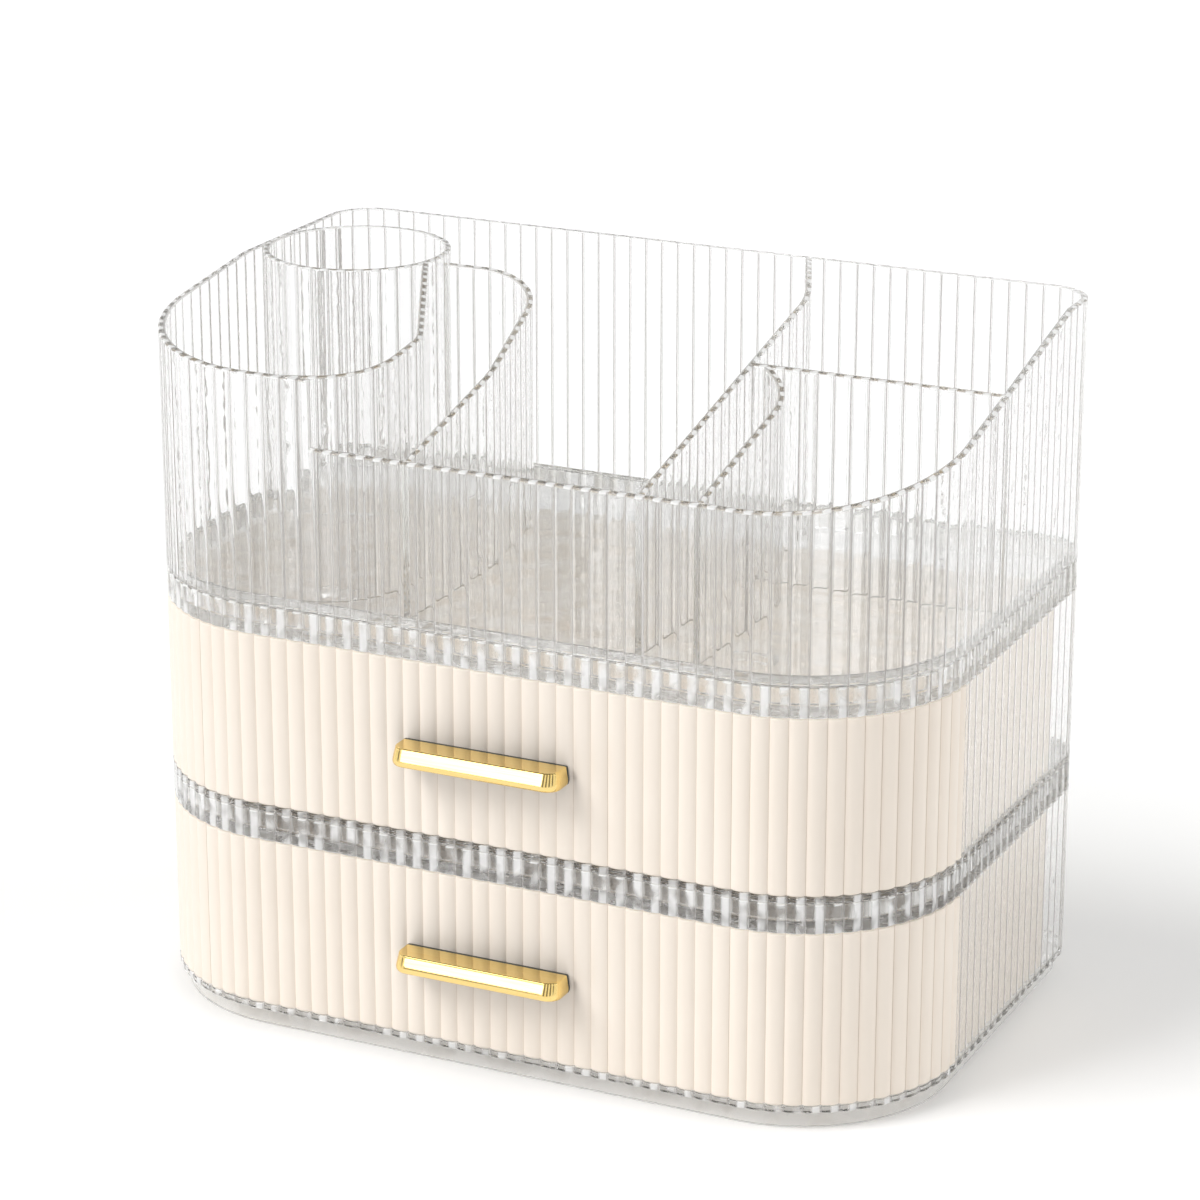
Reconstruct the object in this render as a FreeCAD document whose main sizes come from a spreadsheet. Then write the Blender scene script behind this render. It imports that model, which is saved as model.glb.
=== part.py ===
import FreeCAD, Part
import math
import os
import Sketcher

from FreeCAD import Placement, Rotation, Vector

# Stackable clear organizer: two drawer modules and an open compartment tray on top.
# Every outside wall is reeded, with all reeds lined up from the base to the rim.
# X runs along the width, the drawers open towards -Y, Z is up, and the origin is
# the middle of the bounding box on the surface that the organizer stands on.

SIZES = (
    ("case_width", 280.0, "overall width of the modules and the tray"),
    ("case_depth", 172.0, "depth over the reeds, without the handles"),
    ("front_radius", 55.0, "plan radius of the two front corners"),
    ("back_radius", 16.0, "plan radius of the two back corners"),
    ("reed_pitch", 6.0, "wanted width of one reed, rounded to a whole count"),
    ("reed_depth", 0.26, "height of a reed's crest above its grooves"),
    ("shell_wall", 2.4, "wall of the clear shells, crest to inside"),
    ("plinth_height", 6.4, "height of the locating plinth under each module"),
    ("plinth_inset", 3.0, "step from the reeded outline in to the plinth"),
    ("plinth_wall", 2.4, "wall of the plinth ring"),
    ("nest_gap", 0.3, "gap between a plinth and the rim around it"),
    ("rim_gap", 0.2, "gap between a rim's top and the plate above it"),
    ("base_thickness", 2.2, "plate that the drawer slides on"),
    ("bay_height", 59.0, "clear height of a drawer bay"),
    ("top_thickness", 3.6, "plate that closes a drawer bay"),
    ("slide_gap", 0.3, "gap over and under a drawer"),
    ("split_gap", 0.4, "gap between a drawer front and the shell behind it"),
    ("front_skin", 3.2, "reeded drawer front, crest to inside"),
    ("fit_gap", 0.1, "gap between pieces that are fastened together"),
    ("drawer_wall", 2.2, "wall and floor of the drawer box"),
    ("drawer_rear_gap", 20.0, "space left behind a closed drawer"),
    ("drawer_rear_radius", 8.0, "plan radius of the drawer's back corners"),
    ("drawer_headroom", 1.0, "gap between the drawer's walls and the top plate"),
    ("drawer_lap", 12.0, "how far the box's sides reach round inside its front"),
    ("drawer_travel", 105.0, "how far a drawer opens before it meets its stops"),
    ("stop_gap", 0.3, "gap between a fully open drawer and its stops"),
    ("stop_height", 3.0, "how far a stop hangs under the top plate"),
    ("stop_depth", 3.0, "stop size along the travel"),
    ("stop_width", 14.0, "stop size across the travel"),
    ("stop_spacing", 150.0, "distance between the two stops"),
    ("handle_length", 59.0, "handle size along the drawer front"),
    ("handle_projection", 11.5, "how far a handle stands out of the reeds"),
    ("handle_height", 6.3, "handle size up the drawer front"),
    ("handle_top_level", 41.3, "handle's top above the module's underside"),
    ("handle_corner", 5.0, "plan radius of the handle's two outer corners"),
    ("handle_top_edge", 0.8, "round along the handle's top rim"),
    ("handle_bottom_edge", 2.0, "round along the handle's bottom rim"),
    ("grip_depth", 4.7, "finger recess, up from the handle's underside"),
    ("grip_end", 12.0, "solid end of the handle beside the recess"),
    ("grip_wall", 2.8, "handle wall in front of and behind the recess"),
    ("screw_spacing", 48.0, "distance between the handle's two screws"),
    ("screw_diameter", 2.9, "shank of a handle screw"),
    ("screw_reach", 5.5, "length of a screw inside the handle"),
    ("screw_head_diameter", 5.6, "head of a handle screw"),
    ("screw_head_height", 1.8, "height of that head"),
    ("screw_clearance", 0.5, "screw hole over the shank, through the drawer"),
    ("screw_fit", 0.1, "screw hole over the shank, inside the handle"),
    ("tray_floor_thickness", 3.4, "floor of the tray"),
    ("low_wall_height", 51.2, "tray wall over its floor, along the front"),
    ("high_wall_height", 85.7, "tray wall over its floor, along the back"),
    ("low_wall_run", 145.0, "depth over which the low wall rises to the back"),
    ("pocket_wall_height", 73.8, "wall over the floor at the front left corner"),
    ("pocket_wall_run", 95.0, "depth over which that wall rises to the back"),
    ("pocket_span", 78.0, "front left corner's raised wall, from the left side"),
    ("divider_wall", 2.2, "thickness of a divider, crest to crest"),
    ("cup_radius", 32.0, "outside radius of the brush cup"),
    ("cup_from_side", 32.5, "cup's centre from the left side"),
    ("cup_from_back", 55.0, "cup's centre from the back"),
    ("left_divider_offset", 112.0, "left divider from the left side"),
    ("left_divider_lean", 12.0, "how much further left its back half starts"),
    ("left_divider_straight", 60.0, "length of its straight front part"),
    ("left_divider_rise", 9.0, "its back run behind the cup's centre"),
    ("left_divider_front_radius", 60.0, "plan radius where it starts to lean"),
    ("left_divider_back_radius", 30.0, "plan radius where it turns to the cup"),
    ("centre_divider_offset", 87.6, "centre divider from the right side"),
    ("centre_divider_lean", 16.4, "how far its back end leans to the left"),
    ("centre_divider_straight", 132.5, "length of its straight front part"),
    ("centre_divider_radius", 30.0, "plan radius where it starts to lean"),
    ("cross_divider_offset", 86.0, "cross divider from the front"),
    ("front_divider_offset", 68.0, "front divider from the right side"),
    ("front_divider_cut", 14.0, "size of its slanted corner at the cross divider"),
    ("front_divider_radius", 33.0, "plan radius where that corner starts"),
    ("pocket_divider_start", 62.0, "pocket divider's front end from the left side"),
    ("pocket_divider_offset", 95.0, "its furthest reach from the left side"),
    ("pocket_divider_slant", 8.8, "how far it slants back before its corner"),
    ("pocket_divider_turn", 44.0, "depth at which it turns back to the cup"),
    ("pocket_divider_front_radius", 24.0, "plan radius of its corner"),
    ("pocket_divider_back_radius", 18.0, "plan radius where it turns to the cup"),
)

DRAWER_MODULES = ("lower", "upper")

document = FreeCAD.newDocument("makeup_organizer")
sheet = document.addObject("Spreadsheet::Sheet", "sizes")
for row, (alias, value, meaning) in enumerate(SIZES, start=1):
    sheet.set(f"A{row}", meaning)
    sheet.set(f"B{row}", str(value))
    sheet.setAlias(f"B{row}", alias)
document.recompute()

# Levels that several pieces share, as expressions over the sheet.
BASE_TOP = "(sizes.plinth_height + sizes.base_thickness)"
BAY_TOP = f"({BASE_TOP} + sizes.bay_height)"
MODULE_PITCH = f"({BAY_TOP} + sizes.top_thickness)"
TRAY_FLOOR_TOP = "(sizes.plinth_height + sizes.tray_floor_thickness)"
SPLIT_Y = "(sizes.front_radius - sizes.case_depth / 2)"
DRAWER_INSET = "(sizes.front_skin + sizes.fit_gap)"
DRAWER_BACK_Y = "(sizes.case_depth / 2 - sizes.shell_wall - sizes.drawer_rear_gap)"
HANDLE_BACK_Y = "(-sizes.case_depth / 2 - sizes.fit_gap)"

# The handles stand out in front, so the bounding box reaches further there.
ORIGIN_SHIFT = "((sizes.handle_projection + sizes.fit_gap) / 2)"

sub_parts = []


def size(alias):
    return float(sheet.get(alias))


def add(kind, name, **bound):
    """A new object whose named properties follow expressions over the sheet."""
    made = document.addObject(kind, name)
    bind(made, **bound)
    return made


def bind(made, **bound):
    for key, expression in bound.items():
        made.setExpression(key, expression)


def finish(made, label, level="0"):
    """Make an object a sub-part: its own label, and its place in the stack."""
    made.Label = label
    bind(made, **{".Placement.Base.y": ORIGIN_SHIFT, ".Placement.Base.z": level})
    sub_parts.append(made)


def flat(x, y):
    return Vector(x, y, 0)


# Plan shapes: paths, reeds beside them, and flat faces to raise into solids.


def rounded_path(corners):
    """Straight runs joined by tangent arcs, through (x, y, radius) corners."""
    edges = []
    start = flat(*corners[0][:2])
    for before, corner, after in zip(corners, corners[1:], corners[2:]):
        tip = flat(*corner[:2])
        back = (flat(*before[:2]) - tip).normalize()
        ahead = (flat(*after[:2]) - tip).normalize()
        half_angle = back.getAngle(ahead) / 2
        reach = corner[2] / math.tan(half_angle)
        depth = corner[2] / math.sin(half_angle) - corner[2]
        middle = tip + (back + ahead).normalize() * depth
        edges.append(Part.LineSegment(start, tip + back * reach).toShape())
        edges.append(Part.Arc(tip + back * reach, middle, tip + ahead * reach).toShape())
        start = tip + ahead * reach
    edges.append(Part.LineSegment(start, flat(*corners[-1][:2])).toShape())
    return Part.Wire(edges)


def circle_path(x, y, radius):
    return Part.Wire([Part.Circle(flat(x, y), Vector(0, 0, 1), radius).toShape()])


def outline_path(inset):
    """The organizer's outline, counter-clockwise from the middle of the front."""
    side = size("case_width") / 2 - inset
    end = size("case_depth") / 2 - inset
    front = size("front_radius") - inset
    back = size("back_radius") - inset
    return rounded_path(
        (
            (0, -end, 0),
            (side, -end, front),
            (side, end, back),
            (-side, end, back),
            (-side, -end, front),
            (0, -end, 0),
        )
    )


def reeds(path, crest, groove):
    """A row of reed arcs beside a path, given how far right of it they lie."""
    last = 2 * round(path.Length / size("reed_pitch"))
    points = path.discretize(Number=last + 1)

    def beside(index, offset):
        before = points[index - 1] if index else points[0]
        after = points[index + 1] if index < last else points[last]
        if path.isClosed() and index in (0, last):
            before, after = points[last - 1], points[1]
        along = (after - before).normalize()
        return points[index] + flat(along.y, -along.x) * offset

    return [
        Part.Arc(beside(i, groove), beside(i + 1, crest), beside(i + 2, groove)).toShape()
        for i in range(0, last, 2)
    ]


def plan(name, edges):
    """A flat face in the plan, from edges that close a loop."""
    face = document.addObject("Part::Feature", name)
    face.Shape = Part.Face(Part.Wire(Part.__sortEdges__(edges)))
    return face


def shifted(route, offset):
    """A route moved to its left, with each corner's radius kept concentric."""
    places = [flat(*corner[:2]) for corner in route]
    runs = [(after - before).normalize() for before, after in zip(places, places[1:])]
    lefts = [flat(-run.y, run.x) for run in runs]
    moved = [(*(places[0] + lefts[0] * offset)[:2], 0)]
    for place, corner, before, after in zip(places[1:], route[1:], lefts, lefts[1:]):
        tip = place + (before + after) * (offset / (1 + before.dot(after)))
        turn = math.copysign(offset, before.cross(after).z)
        moved.append((tip.x, tip.y, corner[2] - turn))
    return moved + [(*(places[-1] + lefts[-1] * offset)[:2], 0)]


def strip(name, route):
    """The plan of a divider: reeds on the right of its middle line, smooth on its left."""
    half_wall = size("divider_wall") / 2
    right = reeds(rounded_path(route), half_wall, half_wall - size("reed_depth"))
    left = rounded_path(shifted(route, half_wall)).Edges
    ends = [
        Part.LineSegment(right[0].firstVertex().Point, left[0].firstVertex().Point).toShape(),
        Part.LineSegment(right[-1].lastVertex().Point, left[-1].lastVertex().Point).toShape(),
    ]
    return plan(name, right + left + ends)


def prism(name, face, height, level="0"):
    """A plan face raised by an expression's height from an expression's level."""
    made = add("Part::Extrusion", name, LengthFwd=height)
    made.Base = face
    made.DirMode = "Custom"
    made.Dir = Vector(0, 0, 1)
    made.Solid = True
    bind(made, **{".Placement.Base.z": level})
    return made


def block(name, x_from, x_to, y_from, y_to, level, height):
    """A box between two expressions along X and two along Y."""
    made = add(
        "Part::Box", name, Length=f"{x_to} - ({x_from})", Width=f"{y_to} - ({y_from})", Height=height
    )
    place = {".Placement.Base.x": x_from, ".Placement.Base.y": y_from, ".Placement.Base.z": level}
    bind(made, **place)
    return made


def cut(name, base, *tools):
    made = document.addObject("Part::Cut", name)
    made.Base = base
    made.Tool = tools[0] if len(tools) == 1 else fuse(name + "_tools", *tools)
    return made


def fuse(name, *shapes):
    made = document.addObject("Part::MultiFuse", name)
    made.Shapes = list(shapes)
    return made


def common(name, first, second):
    made = document.addObject("Part::Common", name)
    made.Base = first
    made.Tool = second
    return made


reeded_plan = plan("reeded_plan", reeds(outline_path(0), 0, -size("reed_depth")))
lip_plan = plan("lip_plan", outline_path(size("reed_depth")).Edges)
tray_floor_plan = plan("tray_floor_plan", outline_path(size("shell_wall") + size("fit_gap")).Edges)
shell_room_plan = plan("shell_room_plan", outline_path(size("shell_wall")).Edges)
skin_room_plan = plan("skin_room_plan", outline_path(size("front_skin")).Edges)
plinth_plan = plan("plinth_plan", outline_path(size("plinth_inset")).Edges)
plinth_room_plan = plan(
    "plinth_room_plan", outline_path(size("plinth_inset") + size("plinth_wall")).Edges
)
nest_plan = plan("nest_plan", outline_path(size("plinth_inset") - size("nest_gap")).Edges)


# Casing of a drawer module.


def plinth_plate(prefix, plate_plan, thickness):
    """A plate on the plinth ring that locates it in the rim below."""
    plate = prism(prefix + "_plate", plate_plan, thickness, "sizes.plinth_height")
    ring = prism(prefix + "_plinth", plinth_plan, "sizes.plinth_height")
    room = prism(prefix + "_plinth_room", plinth_room_plan, "sizes.plinth_height")
    return fuse(prefix + "_on_plinth", plate, cut(prefix + "_ring", ring, room))


def shell(prefix):
    """Side and back wall of the bay, open where the drawer front closes it."""
    wall = prism(prefix + "_shell_wall", reeded_plan, "sizes.bay_height", BASE_TOP)
    room = prism(prefix + "_shell_room", shell_room_plan, "sizes.bay_height", BASE_TOP)
    mouth = block(
        prefix + "_shell_mouth",
        "-sizes.case_width",
        "sizes.case_width",
        "-sizes.case_depth",
        f"{SPLIT_Y} + sizes.split_gap",
        BASE_TOP,
        "sizes.bay_height",
    )
    return cut(prefix + "_shell_body", wall, room, mouth)


def top_plate(prefix):
    """Reeded plate with a raised rim above and two drawer stops below."""
    rim_height = "(sizes.plinth_height - sizes.rim_gap)"
    plate = prism(prefix + "_top", reeded_plan, f"sizes.top_thickness + {rim_height}", BAY_TOP)
    nest = prism(prefix + "_nest", nest_plan, "sizes.plinth_height", MODULE_PITCH)
    stop_back = f"({DRAWER_BACK_Y} - sizes.drawer_wall - sizes.drawer_travel - sizes.stop_gap)"
    stops = [
        block(
            f"{prefix}_stop_{side}",
            f"{sign} * sizes.stop_spacing / 2 - sizes.stop_width / 2",
            f"{sign} * sizes.stop_spacing / 2 + sizes.stop_width / 2",
            f"{stop_back} - sizes.stop_depth",
            stop_back,
            f"{BAY_TOP} - sizes.stop_height",
            "sizes.stop_height",
        )
        for side, sign in (("left", -1), ("right", 1))
    ]
    return fuse(prefix + "_top_body", cut(prefix + "_rimmed", plate, nest), *stops)


# Drawer with its handle and screws.


def rectangle(body, name, level, width, front, depth):
    """A sketch in the plan, centred on the Y axis, from its front line back."""
    sketch = body.newObject("Sketcher::SketchObject", name)
    planes = body.Origin.OriginFeatures
    sketch.AttachmentSupport = [(next(p for p in planes if p.Role == "XY_Plane"), "")]
    sketch.MapMode = "FlatFace"
    bind(sketch, **{".AttachmentOffset.Base.z": level})
    corners = (flat(-10, -10), flat(10, -10), flat(10, 10), flat(-10, 10))
    for start, end in zip(corners, corners[1:] + corners[:1]):
        sketch.addGeometry(Part.LineSegment(start, end), False)
    for index in range(4):
        sketch.addConstraint(Sketcher.Constraint("Coincident", index, 2, (index + 1) % 4, 1))
    for kind, index in (("Vertical", 1), ("Horizontal", 2), ("Vertical", 3)):
        sketch.addConstraint(Sketcher.Constraint(kind, index))
    sketch.addConstraint(Sketcher.Constraint("Symmetric", 0, 1, 0, 2, -2))
    driven = (
        ("width", Sketcher.Constraint("DistanceX", 0, 1, 0, 2, 20), width),
        ("front", Sketcher.Constraint("DistanceY", 0, 1, -1, 1, 10), f"-({front})"),
        ("depth", Sketcher.Constraint("DistanceY", 1, 1, 1, 2, 20), depth),
    )
    for label, constraint, expression in driven:
        sketch.renameConstraint(sketch.addConstraint(constraint), label)
        sketch.setExpression(f"Constraints.{label}", expression)
    return sketch


def rim_edges(shape, level):
    """Names of the edges at one level, apart from the one along the back."""
    back = shape.BoundBox.YMax
    return [
        f"Edge{number}"
        for number, edge in enumerate(shape.Edges, start=1)
        if edge.BoundBox.ZLength < 0.01
        and abs(edge.CenterOfMass.z - level) < 0.01
        and edge.CenterOfMass.y < back - 0.01
    ]


def upright(shape, wanted):
    """Names of the vertical edges at the places that pass a test."""
    return [
        f"Edge{number}"
        for number, edge in enumerate(shape.Edges, start=1)
        if abs(edge.tangentAt(edge.FirstParameter).z) > 0.99 and wanted(edge.CenterOfMass)
    ]


def fillet(body, name, base, edges, radius):
    made = body.newObject("PartDesign::Fillet", name)
    made.Base = (base, edges)
    bind(made, Radius=radius)
    body.Tip = made
    document.recompute()
    return made


def drawer_box(prefix):
    """Floor, back and sides of the drawer; its front wall is the drawer front."""
    body = document.addObject("PartDesign::Body", prefix + "_box_body")
    floor_level = f"{BASE_TOP} + sizes.slide_gap"
    front = f"{DRAWER_INSET} - sizes.case_depth / 2"
    pad = body.newObject("PartDesign::Pad", prefix + "_box_pad")
    pad.Profile = rectangle(
        body,
        prefix + "_box_plan",
        floor_level,
        f"sizes.case_width - 2 * {DRAWER_INSET}",
        front,
        f"{DRAWER_BACK_Y} - ({front})",
    )
    bind(pad, Length="sizes.bay_height - sizes.slide_gap - sizes.drawer_headroom")
    document.recompute()
    front_edges = upright(pad.Shape, lambda place: place.y < 0)
    rounded = fillet(
        body, prefix + "_box_front", pad, front_edges, f"sizes.front_radius - {DRAWER_INSET}"
    )
    back_edges = upright(rounded.Shape, lambda place: place.y > 0)
    rounded = fillet(
        body, prefix + "_box_back", rounded, back_edges, "sizes.drawer_rear_radius"
    )
    hollow = body.newObject("PartDesign::Thickness", prefix + "_box_hollow")
    faces = enumerate(rounded.Shape.Faces, start=1)
    top = max(faces, key=lambda pair: pair[1].CenterOfMass.z)[0]
    hollow.Base = (rounded, [f"Face{top}"])
    hollow.Reversed = True
    bind(hollow, Value="sizes.drawer_wall")
    body.Tip = hollow
    mouth = block(
        prefix + "_box_mouth",
        "-sizes.case_width",
        "sizes.case_width",
        "-sizes.case_depth",
        f"{SPLIT_Y} - sizes.drawer_lap",
        f"{floor_level} + sizes.drawer_wall",
        "sizes.bay_height",
    )
    return cut(prefix + "_box", body, mouth)


def drawer_front(prefix, screw_holes):
    """Reeded front that wraps both front corners, in line with the clear plates."""
    level = f"{BASE_TOP} + sizes.slide_gap"
    height = "sizes.bay_height - 2 * sizes.slide_gap"
    wall = prism(prefix + "_skin_wall", reeded_plan, height, level)
    room = prism(prefix + "_skin_room", skin_room_plan, height, level)
    rest = block(
        prefix + "_skin_rest",
        "-sizes.case_width",
        "sizes.case_width",
        SPLIT_Y,
        "sizes.case_depth",
        level,
        height,
    )
    return cut(prefix + "_skin", wall, room, rest, screw_holes)


def screw_pair(prefix, name, diameter, y_from, y_to):
    """Two cylinders along Y at the handle's screws."""
    pair = []
    for side, sign in (("left", -1), ("right", 1)):
        rod = add(
            "Part::Cylinder",
            f"{prefix}_{name}_{side}",
            Radius=f"{diameter} / 2",
            Height=f"{y_to} - ({y_from})",
        )
        rod.Placement.Rotation = Rotation(Vector(1, 0, 0), -90)
        bind(
            rod,
            **{
                ".Placement.Base.x": f"{sign} * sizes.screw_spacing / 2",
                ".Placement.Base.y": y_from,
                ".Placement.Base.z": "sizes.handle_top_level - sizes.handle_height / 2",
            },
        )
        pair.append(rod)
    return pair


def handle(prefix):
    """Bar pull with a finger recess underneath and a solid end at each screw."""
    body = document.addObject("PartDesign::Body", prefix + "_handle_body")
    bottom = "sizes.handle_top_level - sizes.handle_height"
    front = f"{HANDLE_BACK_Y} - sizes.handle_projection"
    pad = body.newObject("PartDesign::Pad", prefix + "_handle_pad")
    pad.Profile = rectangle(
        body, prefix + "_handle_plan", bottom, "sizes.handle_length", front, "sizes.handle_projection"
    )
    bind(pad, Length="sizes.handle_height")
    document.recompute()
    middle = pad.Shape.BoundBox.Center.y
    corners = upright(pad.Shape, lambda place: place.y < middle)
    rounded = fillet(body, prefix + "_handle_corners", pad, corners, "sizes.handle_corner")
    top_rim = rim_edges(rounded.Shape, rounded.Shape.BoundBox.ZMax)
    rounded = fillet(body, prefix + "_handle_top_rim", rounded, top_rim, "sizes.handle_top_edge")
    bottom_rim = rim_edges(rounded.Shape, rounded.Shape.BoundBox.ZMin)
    rounded = fillet(
        body, prefix + "_handle_bottom_rim", rounded, bottom_rim, "sizes.handle_bottom_edge"
    )
    recess = body.newObject("PartDesign::Pocket", prefix + "_grip")
    recess.Profile = rectangle(
        body,
        prefix + "_grip_plan",
        bottom,
        "sizes.handle_length - 2 * sizes.grip_end",
        f"{front} + sizes.grip_wall",
        "sizes.handle_projection - 2 * sizes.grip_wall",
    )
    recess.Reversed = True
    bind(recess, Length="sizes.grip_depth")
    body.Tip = recess
    holes = screw_pair(
        prefix,
        "thread",
        "(sizes.screw_diameter + sizes.screw_fit)",
        f"{HANDLE_BACK_Y} - sizes.screw_reach - sizes.screw_fit",
        "-sizes.case_depth / 2",
    )
    return cut(prefix + "_handle_tapped", body, *holes)


def handle_screws(prefix):
    """The two screws, driven from inside the drawer, as separate solids."""
    seat = "(sizes.front_skin - sizes.case_depth / 2)"
    tip = f"{HANDLE_BACK_Y} - sizes.screw_reach"
    shanks = screw_pair(prefix, "shank", "sizes.screw_diameter", tip, seat)
    heads = screw_pair(
        prefix, "head", "sizes.screw_head_diameter", seat, f"{seat} + sizes.screw_head_height"
    )
    both = document.addObject("Part::Compound", prefix + "_screws")
    both.Links = [
        fuse(f"{prefix}_screw_{index}", shank, head)
        for index, (shank, head) in enumerate(zip(shanks, heads), start=1)
    ]
    return both


def drawer_module(prefix, level):
    clearance = screw_pair(
        prefix,
        "clearance",
        "(sizes.screw_diameter + sizes.screw_clearance)",
        "-sizes.case_depth",
        f"{DRAWER_INSET} - sizes.case_depth / 2",
    )
    screw_holes = fuse(prefix + "_screw_holes", *clearance)
    finish(plinth_plate(prefix, lip_plan, "sizes.base_thickness"), prefix + "_base_plate", level)
    finish(shell(prefix), prefix + "_shell", level)
    finish(top_plate(prefix), prefix + "_top_plate", level)
    finish(drawer_box(prefix), prefix + "_drawer_box", level)
    finish(drawer_front(prefix, screw_holes), prefix + "_drawer_front", level)
    finish(handle(prefix), prefix + "_handle", level)
    finish(handle_screws(prefix), prefix + "_handle_screws", level)


# Tray with its floor, wall, brush cup and dividers.


def slope_cutter(name, x_from, x_to, low, run):
    """Everything above a plane that rises from the front wall to the back wall."""
    lead = "sizes.back_radius"
    rise = f"((sizes.high_wall_height - {low}) / {run})"
    made = add(
        "Part::Box",
        name,
        Length=f"{x_to} - ({x_from})",
        Width="2 * sizes.case_depth",
        Height="sizes.high_wall_height",
    )
    made.Placement = Placement(Vector(), Rotation(Vector(1, 0, 0), 1))
    bind(
        made,
        **{
            ".Placement.Base.x": x_from,
            ".Placement.Base.y": f"-sizes.case_depth / 2 - {lead}",
            ".Placement.Base.z": f"{TRAY_FLOOR_TOP} + {low} - {lead} * {rise}",
            ".Placement.Rotation.Angle": f"atan({rise})",
        },
    )
    return made


def divider_routes(cup_x, cup_y):
    """Each divider's middle line in the plan, as (x, y, radius) corners."""
    side, end = size("case_width") / 2, size("case_depth") / 2
    half_wall = size("divider_wall") / 2
    cup_edge = cup_x + size("cup_radius") - 2 * size("divider_wall")
    centre_x = side - size("centre_divider_offset")
    cross_y = size("cross_divider_offset") - end
    front_x = side - size("front_divider_offset")
    front_end_y = cross_y - half_wall / 2
    left_x = size("left_divider_offset") - side
    left_back_y = cup_y + size("left_divider_rise")
    pocket_x = size("pocket_divider_offset") - side
    return {
        "pocket_divider": (
            (size("pocket_divider_start") - side, -end, 0),
            (pocket_x, size("pocket_divider_slant") - end, size("pocket_divider_front_radius")),
            (pocket_x, size("pocket_divider_turn") - end, size("pocket_divider_back_radius")),
            (cup_edge, cup_y - size("divider_wall"), 0),
        ),
        "left_divider": (
            (left_x, -end, 0),
            (left_x, size("left_divider_straight") - end, size("left_divider_front_radius")),
            (left_x - size("left_divider_lean"), left_back_y, size("left_divider_back_radius")),
            (cup_edge, left_back_y, 0),
        ),
        "centre_divider": (
            (centre_x, -end, 0),
            (centre_x, size("centre_divider_straight") - end, size("centre_divider_radius")),
            (centre_x - size("centre_divider_lean"), end, 0),
        ),
        "cross_divider": ((centre_x, cross_y, 0), (side, cross_y, 0)),
        "front_divider": (
            (front_x, -end, 0),
            (front_x, front_end_y - size("front_divider_cut"), size("front_divider_radius")),
            (front_x - size("front_divider_cut"), front_end_y, 0),
        ),
    }


def tray():
    level = f"{len(DRAWER_MODULES)} * {MODULE_PITCH}"
    height = "sizes.high_wall_height"
    left, right = "-sizes.case_width", "sizes.case_width"
    step = "sizes.pocket_span - sizes.case_width / 2"
    low_rule = ("sizes.low_wall_height", "sizes.low_wall_run")
    pocket_rule = ("sizes.pocket_wall_height", "sizes.pocket_wall_run")
    room = prism("tray_room", shell_room_plan, height, TRAY_FLOOR_TOP)

    floor = plinth_plate("tray", tray_floor_plan, "sizes.tray_floor_thickness")
    finish(floor, "tray_floor", level)

    full_height = f"sizes.tray_floor_thickness + {height}"
    wall = prism("tray_wall_solid", reeded_plan, full_height, "sizes.plinth_height")
    wall_room = prism("tray_wall_room", shell_room_plan, full_height, "sizes.plinth_height")
    low_cut = slope_cutter("tray_low_cut", step, right, *low_rule)
    pocket_cut = slope_cutter("tray_pocket_cut", left, step, *pocket_rule)
    finish(cut("tray_wall_body", wall, wall_room, low_cut, pocket_cut), "tray_wall", level)

    cup_x = size("cup_from_side") - size("case_width") / 2
    cup_y = size("case_depth") / 2 - size("cup_from_back")
    rim = circle_path(cup_x, cup_y, size("cup_radius"))
    cup = prism("cup_solid", plan("cup_plan", reeds(rim, 0, -size("reed_depth"))), height, TRAY_FLOOR_TOP)
    bore = circle_path(cup_x, cup_y, size("cup_radius") - size("divider_wall"))
    hollow = prism("cup_hollow", plan("cup_room_plan", bore.Edges), height, TRAY_FLOOR_TOP)
    finish(cut("cup_body", common("cup_in_tray", cup, room), hollow), "brush_cup", level)

    # Dividers end inside the piece they meet, and are cut back to its face.
    solids = {
        name: prism(name + "_solid", strip(name + "_plan", route), height, TRAY_FLOOR_TOP)
        for name, route in divider_routes(cup_x, cup_y).items()
    }
    ends_at = {"cross_divider": "centre_divider", "front_divider": "cross_divider"}
    for name, solid in solids.items():
        rule = pocket_rule if name == "pocket_divider" else low_rule
        top_cut = slope_cutter(name + "_top_cut", left, right, *rule)
        met = solids[ends_at[name]] if name in ends_at else cup
        trimmed = cut(name + "_body", common(name + "_in_tray", solid, room), met, top_cut)
        finish(trimmed, name, level)


for number, module in enumerate(DRAWER_MODULES):
    drawer_module(module, f"{number} * {MODULE_PITCH}")
tray()
document.recompute()

for made in document.Objects:
    if "Invalid" in made.State or "Error" in made.State:
        raise RuntimeError(f"{made.Name} did not build: {made.State}")
for made in sub_parts:
    if made.Shape.isNull() or not made.Shape.isValid() or not made.Shape.Solids:
        raise RuntimeError(f"{made.Label} has no valid solid")

os.makedirs("parts", exist_ok=True)
for made in sub_parts:
    made.Shape.exportStep(os.path.join("parts", made.Label + ".step"))
    box = made.Shape.BoundBox
    print(
        f"{made.Label}: {len(made.Shape.Solids)} solid(s), {made.Shape.Volume / 1000:.1f} cm3, "
        f"x {box.XMin:.1f} to {box.XMax:.1f}, y {box.YMin:.1f} to {box.YMax:.1f}, "
        f"z {box.ZMin:.1f} to {box.ZMax:.1f}"
    )
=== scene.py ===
import math

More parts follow.
